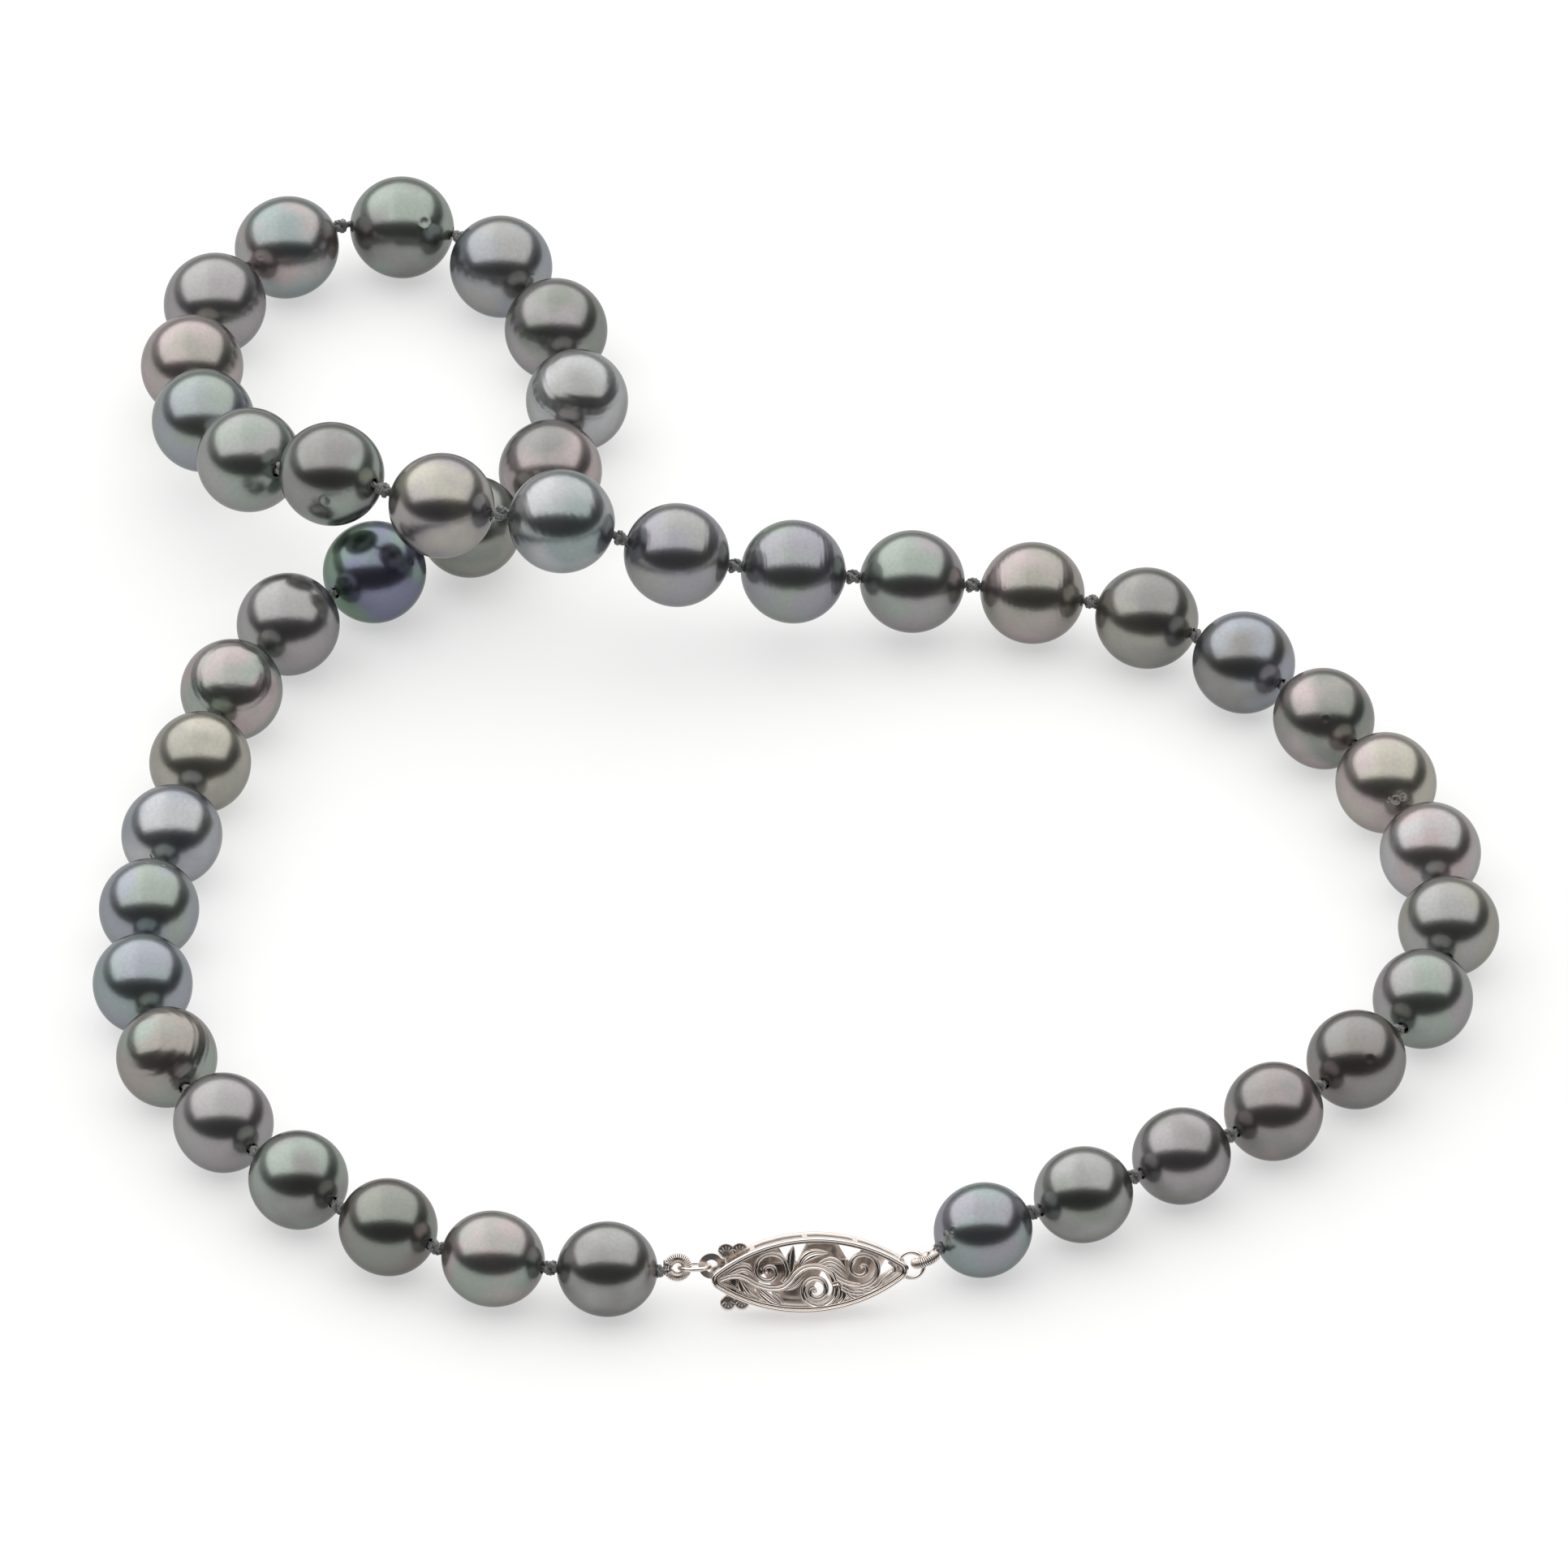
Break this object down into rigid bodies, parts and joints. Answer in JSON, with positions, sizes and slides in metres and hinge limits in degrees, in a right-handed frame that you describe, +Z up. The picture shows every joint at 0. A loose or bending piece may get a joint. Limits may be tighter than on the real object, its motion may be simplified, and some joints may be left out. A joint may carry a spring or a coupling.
{
  "type": "pearl necklace",
  "caption": "Single strand of graded round dark pearls knotted on silk, closed by a pointed oval openwork box clasp with a spring hook.",
  "frame": {"origin": "centre of the bounding box, at the surface the necklace lies on", "axes": "+Z up from the surface, +Y away from the clasp along the necklace's length, +X to the right"},
  "size_m": [0.1257, 0.1617, 0.0197],
  "materials": {
    "nacre_neutral": "lustrous",
    "nacre_mauve": "lustrous",
    "nacre_brown": "lustrous",
    "nacre_green": "lustrous",
    "nacre_bronze": "lustrous",
    "nacre_blue": "lustrous",
    "nacre_silver": "lustrous",
    "nacre_olive": "lustrous",
    "nacre_peacock": "lustrous",
    "silk": "braided",
    "white_gold": "polished"
  },
  "bodies": {
    "clasp": {"clasp_front_rim": "white_gold", "clasp_filigree": "white_gold", "clasp_back_plate": "white_gold", "clasp_posts": "white_gold", "catch_bar": "white_gold", "end_post": "white_gold", "silk_left": "silk", "silk_right": "silk"},
    "hook": {"hook_tongue": "white_gold"},
    "leaf": {"spring_leaf": "white_gold", "tab_upper": "white_gold", "tab_lower": "white_gold"},
    "ring_left": {"jump_ring_left": "white_gold"},
    "ring_right": {"jump_ring_right": "white_gold"},
    "pearl_01": {"pearl_01": "nacre_neutral", "gimp_left": "white_gold"},
    "pearl_02": {"pearl_02": "nacre_mauve"},
    "pearl_03": {"pearl_03": "nacre_brown"},
    "pearl_04": {"pearl_04": "nacre_green"},
    "pearl_05": {"pearl_05": "nacre_mauve"},
    "pearl_06": {"pearl_06": "nacre_bronze"},
    "pearl_07": {"pearl_07": "nacre_blue"},
    "pearl_08": {"pearl_08": "nacre_blue"},
    "pearl_09": {"pearl_09": "nacre_silver"},
    "pearl_10": {"pearl_10": "nacre_olive"},
    "pearl_11": {"pearl_11": "nacre_green"},
    "pearl_12": {"pearl_12": "nacre_green"},
    "pearl_13": {"pearl_13": "nacre_peacock"},
    "pearl_14": {"pearl_14": "nacre_olive"},
    "pearl_15": {"pearl_15": "nacre_mauve"},
    "pearl_16": {"pearl_16": "nacre_silver"},
    "pearl_17": {"pearl_17": "nacre_mauve"},
    "pearl_18": {"pearl_18": "nacre_blue"},
    "pearl_19": {"pearl_19": "nacre_green"},
    "pearl_20": {"pearl_20": "nacre_mauve"},
    "pearl_21": {"pearl_21": "nacre_mauve"},
    "pearl_22": {"pearl_22": "nacre_olive"},
    "pearl_23": {"pearl_23": "nacre_blue"},
    "pearl_24": {"pearl_24": "nacre_green"},
    "pearl_25": {"pearl_25": "nacre_green"},
    "pearl_26": {"pearl_26": "nacre_olive"},
    "pearl_27": {"pearl_27": "nacre_silver"},
    "pearl_28": {"pearl_28": "nacre_mauve"},
    "pearl_29": {"pearl_29": "nacre_green"},
    "pearl_30": {"pearl_30": "nacre_green"},
    "pearl_31": {"pearl_31": "nacre_olive"},
    "pearl_32": {"pearl_32": "nacre_olive"},
    "pearl_33": {"pearl_33": "nacre_blue"},
    "pearl_34": {"pearl_34": "nacre_mauve"},
    "pearl_35": {"pearl_35": "nacre_bronze"},
    "pearl_36": {"pearl_36": "nacre_mauve"},
    "pearl_37": {"pearl_37": "nacre_olive"},
    "pearl_38": {"pearl_38": "nacre_mauve"},
    "pearl_39": {"pearl_39": "nacre_brown"},
    "pearl_40": {"pearl_40": "nacre_brown"},
    "pearl_41": {"pearl_41": "nacre_mauve"},
    "pearl_42": {"pearl_42": "nacre_green"},
    "pearl_43": {"pearl_43": "nacre_blue", "gimp_right": "white_gold"}
  },
  "joints": [
    {"name": "hook_slide", "type": "slide", "parent": "clasp", "child": "hook", "axis": [-0.9966, -0.0819, 0], "range_m": [0, 0.0125]},
    {"name": "leaf_press", "type": "hinge", "parent": "hook", "child": "leaf", "pos_m": [0.00434, -0.07563, 0.00395], "axis": [0.0385, -0.4679, -0.8829], "range_deg": [0, 2], "stiffness_Nm_per_rad": 0.0002, "springref_deg": -11.46},
    {"name": "ring_left_swing", "type": "hinge", "parent": "hook", "child": "ring_left", "pos_m": [-0.00766, -0.0761, 0.00413], "axis": [0, 0, 1], "range_deg": [0, 12]},
    {"name": "coil_left_swing", "type": "hinge", "parent": "ring_left", "child": "pearl_01", "pos_m": [-0.01035, -0.07632, 0.00413], "axis": [0, 0, 1], "range_deg": [0, 10], "deforming": ["silk_left"]},
    {"name": "knot_01_02", "type": "hinge", "parent": "pearl_01", "child": "pearl_02", "pos_m": [-0.02165, -0.07651, 0.00429], "axis": [0, 0, 1], "range_deg": [0, 13], "deforming": ["silk_left"]},
    {"name": "knot_02_03", "type": "hinge", "parent": "pearl_02", "child": "pearl_03", "pos_m": [-0.03143, -0.07378, 0.00434], "axis": [0, 0, 1], "range_deg": [0, 16], "deforming": ["silk_left"]},
    {"name": "knot_03_04", "type": "hinge", "parent": "pearl_03", "child": "pearl_04", "pos_m": [-0.04012, -0.06825, 0.00439], "axis": [0, 0, 1], "range_deg": [0, 12], "deforming": ["silk_left"]},
    {"name": "knot_04_05", "type": "hinge", "parent": "pearl_04", "child": "pearl_05", "pos_m": [-0.04754, -0.06097, 0.00444], "axis": [0, 0, 1], "range_deg": [0, 11], "deforming": ["silk_left"]},
    {"name": "knot_05_06", "type": "hinge", "parent": "pearl_05", "child": "pearl_06", "pos_m": [-0.05371, -0.05247, 0.00449], "axis": [0, 0, 1], "range_deg": [0, 14], "deforming": ["silk_left"]},
    {"name": "knot_06_07", "type": "hinge", "parent": "pearl_06", "child": "pearl_07", "pos_m": [-0.05768, -0.04266, 0.00453], "axis": [0, 0, 1], "range_deg": [0, 16], "deforming": ["silk_left"]},
    {"name": "knot_07_08", "type": "hinge", "parent": "pearl_07", "child": "pearl_08", "pos_m": [-0.05862, -0.03202, 0.00458], "axis": [0, 0, 1], "range_deg": [0, 11], "deforming": ["silk_left"]},
    {"name": "knot_08_09", "type": "hinge", "parent": "pearl_08", "child": "pearl_09", "pos_m": [-0.05739, -0.02135, 0.00462], "axis": [0, 0, 1], "range_deg": [0, 8], "deforming": ["silk_left"]},
    {"name": "knot_09_10", "type": "hinge", "parent": "pearl_09", "child": "pearl_10", "pos_m": [-0.05523, -0.01077, 0.00465], "axis": [0, 0, 1], "range_deg": [0, 8], "deforming": ["silk_left"]},
    {"name": "knot_10_11", "type": "hinge", "parent": "pearl_10", "child": "pearl_11", "pos_m": [-0.05301, -0.00011, 0.00469], "axis": [0, 0, 1], "range_deg": [0, 8], "deforming": ["silk_left"]},
    {"name": "knot_11_12", "type": "hinge", "parent": "pearl_11", "child": "pearl_12", "pos_m": [-0.04953, 0.01029, 0.00472], "axis": [0, 0, 1], "range_deg": [0, 16], "deforming": ["silk_left"]},
    {"name": "ring_right_swing", "type": "hinge", "parent": "clasp", "child": "ring_right", "pos_m": [0.00941, -0.07563, 0.00372], "axis": [0, 0, -1], "range_deg": [0, 8]},
    {"name": "coil_right_swing", "type": "hinge", "parent": "ring_right", "child": "pearl_43", "pos_m": [0.01078, -0.07501, 0.00383], "axis": [0, 0, -1], "range_deg": [0, 8], "deforming": ["silk_right"]},
    {"name": "knot_42_43", "type": "hinge", "parent": "pearl_43", "child": "pearl_42", "pos_m": [0.02065, -0.06891, 0.00429], "axis": [0, 0, -1], "range_deg": [0, 8], "deforming": ["silk_right"]},
    {"name": "knot_41_42", "type": "hinge", "parent": "pearl_42", "child": "pearl_41", "pos_m": [0.02956, -0.06407, 0.00434], "axis": [0, 0, -1], "range_deg": [0, 8], "deforming": ["silk_right"]},
    {"name": "knot_40_41", "type": "hinge", "parent": "pearl_41", "child": "pearl_40", "pos_m": [0.0381, -0.05839, 0.00439], "axis": [0, 0, -1], "range_deg": [0, 8], "deforming": ["silk_right"]},
    {"name": "knot_39_40", "type": "hinge", "parent": "pearl_40", "child": "pearl_39", "pos_m": [0.04607, -0.05175, 0.00444], "axis": [0, 0, -1], "range_deg": [0, 9], "deforming": ["silk_right"]},
    {"name": "knot_38_39", "type": "hinge", "parent": "pearl_39", "child": "pearl_38", "pos_m": [0.05319, -0.044, 0.00449], "axis": [0, 0, -1], "range_deg": [0, 16], "deforming": ["silk_right"]},
    {"name": "knot_37_38", "type": "hinge", "parent": "pearl_38", "child": "pearl_37", "pos_m": [0.05785, -0.03448, 0.00453], "axis": [0, 0, -1], "range_deg": [0, 20], "deforming": ["silk_right"]},
    {"name": "knot_36_37", "type": "hinge", "parent": "pearl_37", "child": "pearl_36", "pos_m": [0.05834, -0.02378, 0.00458], "axis": [0, 0, -1], "range_deg": [0, 17], "deforming": ["silk_right"]},
    {"name": "knot_35_36", "type": "hinge", "parent": "pearl_36", "child": "pearl_35", "pos_m": [0.05558, -0.01334, 0.00462], "axis": [0, 0, -1], "range_deg": [0, 11], "deforming": ["silk_right"]},
    {"name": "knot_34_35", "type": "hinge", "parent": "pearl_35", "child": "pearl_34", "pos_m": [0.05096, -0.00354, 0.00465], "axis": [0, 0, -1], "range_deg": [0, 10], "deforming": ["silk_right"]},
    {"name": "knot_33_34", "type": "hinge", "parent": "pearl_34", "child": "pearl_33", "pos_m": [0.04469, 0.00537, 0.00469], "axis": [0, 0, -1], "range_deg": [0, 11], "deforming": ["silk_right"]},
    {"name": "knot_32_33", "type": "hinge", "parent": "pearl_33", "child": "pearl_32", "pos_m": [0.03678, 0.01302, 0.0047], "axis": [0, 0, -1], "range_deg": [0, 15], "deforming": ["silk_right"]},
    {"name": "knot_31_32", "type": "hinge", "parent": "pearl_32", "child": "pearl_31", "pos_m": [0.02706, 0.01825, 0.00472], "axis": [0, 0, -1], "range_deg": [0, 18], "deforming": ["silk_right"]},
    {"name": "knot_30_31", "type": "hinge", "parent": "pearl_31", "child": "pearl_30", "pos_m": [0.01613, 0.02003, 0.00526], "axis": [0, 0, -1], "range_deg": [0, 12], "deforming": ["silk_right"]},
    {"name": "knot_29_30", "type": "hinge", "parent": "pearl_30", "child": "pearl_29", "pos_m": [0.00512, 0.0193, 0.00678], "axis": [0, 0, -1], "range_deg": [0, 8], "deforming": ["silk_right"]},
    {"name": "knot_28_29", "type": "hinge", "parent": "pearl_29", "child": "pearl_28", "pos_m": [-0.00564, 0.01774, 0.00925], "axis": [0, 0, -1], "range_deg": [0, 8], "deforming": ["silk_right"]},
    {"name": "knot_27_28", "type": "hinge", "parent": "pearl_28", "child": "pearl_27", "pos_m": [-0.01612, 0.01683, 0.01316], "axis": [0, 0, -1], "range_deg": [0, 10], "deforming": ["silk_right"]},
    {"name": "knot_26_27", "type": "hinge", "parent": "pearl_27", "child": "pearl_26", "pos_m": [-0.02699, 0.01791, 0.01522], "axis": [0, 0, -1], "range_deg": [0, 12], "deforming": ["silk_right"]},
    {"name": "knot_25_26", "type": "hinge", "parent": "pearl_26", "child": "pearl_25", "pos_m": [-0.0378, 0.02142, 0.01524], "axis": [0, 0, 1], "range_deg": [0, 15], "deforming": ["silk_right"]},
    {"name": "knot_24_25", "type": "hinge", "parent": "pearl_25", "child": "pearl_24", "pos_m": [-0.04709, 0.0274, 0.01321], "axis": [0, 0, 1], "range_deg": [0, 20], "deforming": ["silk_right"]},
    {"name": "knot_23_24", "type": "hinge", "parent": "pearl_24", "child": "pearl_23", "pos_m": [-0.0533, 0.03608, 0.0093], "axis": [0, 0, 1], "range_deg": [0, 20], "deforming": ["silk_right"]},
    {"name": "knot_22_23", "type": "hinge", "parent": "pearl_23", "child": "pearl_22", "pos_m": [-0.05624, 0.04682, 0.00686], "axis": [0, 0, 1], "range_deg": [0, 17], "deforming": ["silk_right"]},
    {"name": "knot_21_22", "type": "hinge", "parent": "pearl_22", "child": "pearl_21", "pos_m": [-0.0562, 0.05815, 0.00537], "axis": [0, 0, 1], "range_deg": [0, 20], "deforming": ["silk_right"]},
    {"name": "knot_20_21", "type": "hinge", "parent": "pearl_21", "child": "pearl_20", "pos_m": [-0.0522, 0.06895, 0.00484], "axis": [0, 0, 1], "range_deg": [0, 20], "deforming": ["silk_right"]},
    {"name": "knot_19_20", "type": "hinge", "parent": "pearl_20", "child": "pearl_19", "pos_m": [-0.04293, 0.07608, 0.00485], "axis": [0, 0, 1], "range_deg": [0, 20], "deforming": ["silk_right"]},
    {"name": "knot_18_19", "type": "hinge", "parent": "pearl_19", "child": "pearl_18", "pos_m": [-0.03165, 0.07425, 0.00486], "axis": [0, 0, 1], "range_deg": [0, 20], "deforming": ["silk_right"]},
    {"name": "knot_17_18", "type": "hinge", "parent": "pearl_18", "child": "pearl_17", "pos_m": [-0.02425, 0.06527, 0.00485], "axis": [0, 0, 1], "range_deg": [0, 20], "deforming": ["silk_right"]},
    {"name": "knot_16_17", "type": "hinge", "parent": "pearl_17", "child": "pearl_16", "pos_m": [-0.02057, 0.05447, 0.00483], "axis": [0, 0, 1], "range_deg": [0, 20], "deforming": ["silk_right"]},
    {"name": "knot_15_16", "type": "hinge", "parent": "pearl_16", "child": "pearl_15", "pos_m": [-0.02052, 0.04313, 0.00481], "axis": [0, 0, 1], "range_deg": [0, 20], "deforming": ["silk_right"]},
    {"name": "knot_14_15", "type": "hinge", "parent": "pearl_15", "child": "pearl_14", "pos_m": [-0.02575, 0.03327, 0.00479], "axis": [0, 0, 1], "range_deg": [0, 20], "deforming": ["silk_right"]},
    {"name": "knot_13_14", "type": "hinge", "parent": "pearl_14", "child": "pearl_13", "pos_m": [-0.03435, 0.02608, 0.00477], "axis": [0, 0, 1], "range_deg": [0, 8], "deforming": ["silk_right"]}
  ]
}
